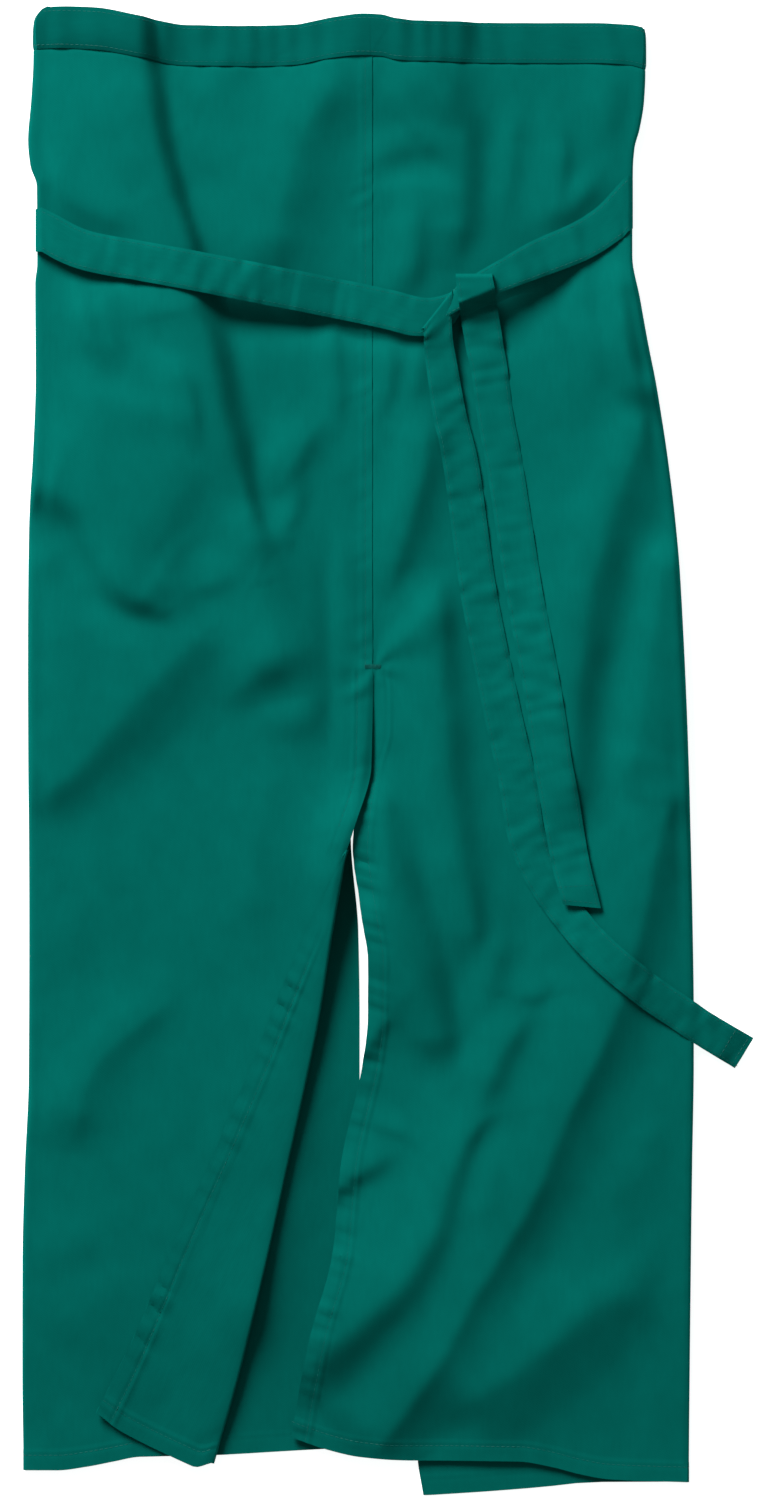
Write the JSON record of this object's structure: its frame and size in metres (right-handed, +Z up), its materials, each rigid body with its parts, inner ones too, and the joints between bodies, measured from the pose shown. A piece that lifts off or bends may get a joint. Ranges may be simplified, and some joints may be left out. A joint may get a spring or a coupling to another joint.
{
  "type": "split-leg apron",
  "caption": "Long split-leg waist apron lying face up, with side wings folded under, a waistband and ties half-knotted at the front.",
  "frame": {"origin": "on the surface it lies on, below the middle of its box", "axes": "+Y towards the waistband, +X to the right seen from above, +Z up, out of the front face"},
  "size_m": [0.4574, 0.9301, 0.0185],
  "materials": {
    "apron_twill": "matte twill",
    "band_twill": "matte twill",
    "tie_twill": "matte twill"
  },
  "bodies": {
    "root": {"left_half": "apron_twill", "right_half": "apron_twill", "waistband": "band_twill", "tie_left": "tie_twill", "tie_right": "tie_twill"}
  },
  "joints": []
}
